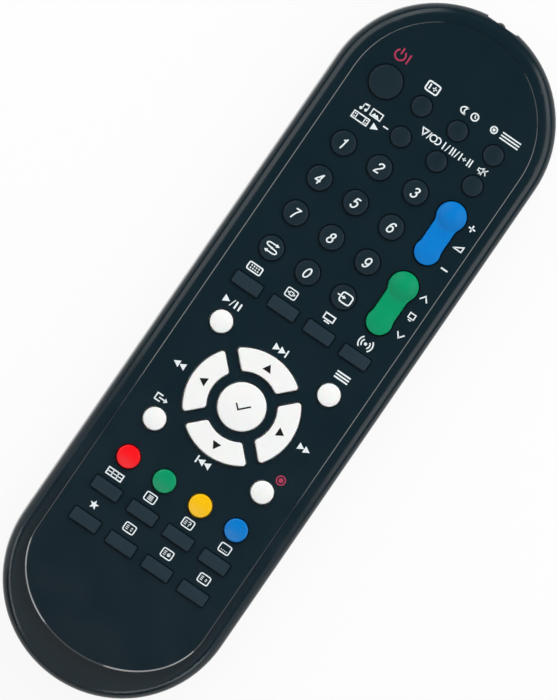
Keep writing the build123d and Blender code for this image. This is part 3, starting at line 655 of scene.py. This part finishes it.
star_points = np.stack([-16.7 + star_reach * np.cos(star_turns), -58.2 + star_reach * np.sin(star_turns)], 1)
signs.append(filled(star_points))
print_sign("panel_signs", signs, white_ink, "case", level)
print_sign("power_and_record_signs", power_sign + record_sign, red_ink, "case", level)

# Printing on the keys: the same ink, pressed on by a soft pad. It follows each round key's crown, which
# falls from the middle by the square of the distance. The digits are slanted and a little below the middle.
crown = 0.3
digit_lean = 0.2
digit_drop = 0.15
digit_stroke = 0.4


def crowned(node):
    """Middle of a round key, and the height of its top over points given from the panel's middle."""
    low, high = (np.array(corner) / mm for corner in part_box(node))
    middle = (low[:2] + high[:2]) / 2
    radius = (high[0] - low[0]) / 2 - flange_reach
    return middle, lambda xy: high[2] - crown * (((xy - middle) / radius) ** 2).sum(1)


def rod(x0, y0, x1, y1):
    """A digit's straight stroke."""
    return bar(x0, y0, x1, y1, digit_stroke)


def sweep(*points):
    """A digit's curved stroke through the points, whose middle is the digit's."""
    return pen(curved(points), digit_stroke)


def bowl(y, radius, flat, count=24):
    """A digit's closed ring round a point y above its middle."""
    return pen(arc(0, y, radius, flat=flat, count=count), digit_stroke, closed=True)


six = [
    bowl(-0.48, 0.66, 1.24),
    sweep((0.62, 0.86), (0.4, 1.2), (0.0, 1.3), (-0.42, 1.02), (-0.64, 0.35), (-0.68, -0.45)),
]
nine = [(-points, faces) for points, faces in six]
three_top = [(-0.6, 0.78), (-0.4, 1.17), (0.04, 1.29), (0.46, 1.1), (0.57, 0.72), (0.38, 0.3), (-0.12, 0.14)]
three_belly = [(-0.12, 0.14), (0.44, 0.0), (0.67, -0.52), (0.5, -1.06), (0.0, -1.29)]
three_belly += [(-0.46, -1.14), (-0.68, -0.7)]
two_swan = [(-0.66, 0.62), (-0.46, 1.12), (0.04, 1.3), (0.54, 1.1), (0.66, 0.64)]
two_swan += [(0.36, 0.1), (-0.26, -0.56), (-0.6, -1.15)]
five_belly = [(-0.56, 0.1), (-0.16, 0.38), (0.3, 0.32), (0.62, -0.04), (0.65, -0.52)]
five_belly += [(0.44, -1.06), (-0.06, -1.29), (-0.5, -1.14), (-0.7, -0.74)]
digits = [
    [bowl(0, 0.68, 1.9, 32)],
    [rod(0.16, -1.5, 0.16, 1.5), sweep((0.12, 1.18), (-0.12, 0.92), (-0.5, 0.8))],
    [sweep(*two_swan), rod(-0.82, -1.29, 0.7, -1.29)],
    [sweep(*three_top), sweep(*three_belly)],
    [rod(0.32, -1.5, 0.32, 1.42), rod(0.3, 1.3, -0.74, -0.5), rod(-0.88, -0.6, 0.78, -0.6)],
    [rod(0.66, 1.29, -0.5, 1.29), rod(-0.34, 1.4, -0.54, 0.02), sweep(*five_belly)],
    six,
    [rod(-0.72, 1.29, 0.82, 1.29), sweep((0.6, 1.2), (0.12, 0.45), (-0.18, -0.5), (-0.28, -1.5))],
    [bowl(0.68, 0.54, 1.13), bowl(-0.6, 0.67, 1.04)],
    nine,
]
for digit, parts in enumerate(digits):
    node = f"number_{digit}_key"
    middle, top = crowned(node)
    print_sign(f"digit_{digit}", parts, white_ink, node, top, middle - (0, digit_drop), digit_lean)

hook = curved([(0.75, 1.12), (-0.9, 1.12), (-1.62, 0.86), (-1.62, 0.34), (-0.9, 0.1), (0.3, 0.08)])
swap_sign = [
    pen(hook, 0.36),
    pen(-hook, 0.36),
    arrow_head(0.7, 1.12, 0.95, 0.5),
    arrow_head(-0.7, -1.12, 0.95, 0.5, 180),
]
input_sign = [
    pen(barrel(0.75, 0.0, 3.1, 2.6, 4.5), 0.38, closed=True),
    bar(-1.75, 0.0, 0.0, 0.0, 0.34),
    arrow_head(-0.15, 0.0, 0.9, 0.5),
]
tick_sign = [pen([(-1.7, 0.1), (-0.45, -1.1), (1.9, 1.3)], 0.42)]
for name, node, parts, ink in (
    ("swap_sign", "swap_key", swap_sign, white_ink),
    ("input_sign", "input_key", input_sign, white_ink),
    ("tick_sign", "ok_key", tick_sign, black_ink),
):
    middle, top = crowned(node)
    print_sign(name, parts, ink, node, top, middle)

pointer_row = 10.9
pointer_length = 2.0
pointer_half = 1.22
ring_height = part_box("up_key")[1].z / mm
ring_middle = np.array(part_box("ok_key")[0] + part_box("ok_key")[1])[:2] / 2 / mm


def on_ring(xy):
    """Height of the ring's four keys, which are level and equally high, over each point."""
    return np.full(len(xy), ring_height)


for name, turn in zip(ring_keys, (90, 180, 270, 0)):
    start = pointer_row * np.array([math.cos(math.radians(turn)), math.sin(math.radians(turn))])
    pointer = arrow_head(*start, pointer_length, pointer_half, turn)
    print_sign(f"{name}_sign", [pointer], black_ink, f"{name}_key", on_ring, ring_middle)

# Floor: a wide white table a hair under the remote, which keeps its soft shadow. Most of the white that the
# camera and reflections see is a glow, so that it clears to white without more light on the remote.
floor_half = 12000.0
floor_drop = 0.02
glow_share = 0.9
paint_white = 0.93
floor_paint = bpy.data.materials.new("floor_paint")
floor_paint.use_nodes = True
tree = floor_paint.node_tree
paint = tree.nodes["Principled BSDF"]
paint.inputs["Base Color"].default_value = (paint_white, paint_white, paint_white, 1)
paint.inputs["Roughness"].default_value = 0.9
paint.inputs["Specular IOR Level"].default_value = 0.1
glow = tree.nodes.new("ShaderNodeEmission")
glow.inputs["Strength"].default_value = 1.0
rays = tree.nodes.new("ShaderNodeLightPath")
direct = reckon(tree, "MAXIMUM", rays.outputs["Is Camera Ray"], rays.outputs["Is Glossy Ray"])
seen = reckon(tree, "MAXIMUM", direct, rays.outputs["Is Transmission Ray"])
blend = tree.nodes.new("ShaderNodeMixShader")
tree.links.new(reckon(tree, "MULTIPLY", seen, glow_share), blend.inputs["Fac"])
tree.links.new(paint.outputs["BSDF"], blend.inputs[1])
tree.links.new(glow.outputs["Emission"], blend.inputs[2])
tree.links.new(blend.outputs["Shader"], tree.nodes["Material Output"].inputs["Surface"])
corners = floor_half * np.array([(-1, -1, 0), (1, -1, 0), (1, 1, 0), (-1, 1, 0)]) - (0, 0, floor_drop)
floor = new_piece("floor", corners, [(0, 1, 2, 3)], floor_paint)

# Light: a dim room and a soft box on each side, which draws the light band along the rim. The high box and
# the key box light the keys without a sheen. The rest add only a sheen: far and low boxes carry the bands on
# round both ends, and foot and chin boxes pick out the bevel and the slope at the lower end.


def soft_box(name, place, aim, width, height, radiance, shape=True, sheen=True):
    """Lamp of one radiance all over: its power is the radiance times pi times its area. shape is whether it
    lights dull surfaces, and sheen whether glossy ones show it."""
    lamp = bpy.data.lights.new(name, "AREA")
    lamp.shape = "RECTANGLE"
    lamp.size, lamp.size_y = width, height
    lamp.energy = radiance * math.pi * width * height
    box = bpy.data.objects.new(name, lamp)
    box.location = place
    to_aim = Vector(aim) - Vector(place)
    box.rotation_euler = to_aim.to_track_quat("-Z", "Y").to_euler()
    box.visible_camera = False
    box.visible_diffuse = shape
    box.visible_glossy = sheen
    bpy.context.scene.collection.objects.link(box)


for name, side in (("left", -1), ("right", 1)):
    near, far = (side * 0.25, 0.095, 0.305), (side * 0.25, 0.375, 0.385)
    low, foot = (side * 0.3, -0.165, 0.15), (side * 0.225, -0.285, 0.215)
    soft_box(f"{name}_box", near, (0, *near[1:]), 0.25, 0.37, 2.4)
    soft_box(f"{name}_far_box", far, (0, *far[1:]), 0.29, 0.43, 3.0, shape=False)
    soft_box(f"{name}_low_box", low, (0, *low[1:]), 0.23, 0.3, 0.9, shape=False)
    soft_box(f"{name}_foot_box", foot, (0, -0.085, 0.02), 0.34, 0.08, 4.0, shape=False)
soft_box("chin_box", (0, -0.47, 0.415), (0, -0.09, 0.02), 0.6, 0.87, 0.7, shape=False)
soft_box("high_box", (0, 0.9, 0.75), (0, 0.05, 0.02), 0.8, 0.5, 5.8, sheen=False)
soft_box("key_box", (0, -0.12, 0.3), (0, -0.1201, 0), 0.2, 0.1, 3.6, sheen=False)

room_light = 0.08
room = bpy.data.worlds.new("room")
bpy.context.scene.world = room
room.use_nodes = True
walls = room.node_tree.nodes["Background"]
walls.inputs["Color"].default_value = (1, 1, 1, 1)
walls.inputs["Strength"].default_value = room_light

# Camera: above, two degrees to the left and a little towards the infrared end, through a long lens. It is
# turned so that the remote leans to the right as photographed. Lens and sensor are in mm, lengths in metres.
view_height = 0.1763
lens = 800.0
sensor = 36.0
turned = math.radians(34.46)
lean = (math.radians(-0.6), math.radians(-2.0))
aim = Vector((-0.00025, 0.0002, 0.018))
camera_data = bpy.data.cameras.new("camera")
camera_data.lens = lens
camera_data.sensor_width = sensor
camera_data.clip_end = 50.0
camera = bpy.data.objects.new("camera", camera_data)
camera.rotation_mode = "ZYX"
camera.rotation_euler = (*lean, turned)
distance = view_height * lens / sensor
camera.location = aim + camera.rotation_euler.to_matrix() @ Vector((0, 0, distance))
bpy.context.scene.collection.objects.link(camera)
bpy.context.scene.camera = camera
bpy.context.scene.view_settings.view_transform = "Standard"
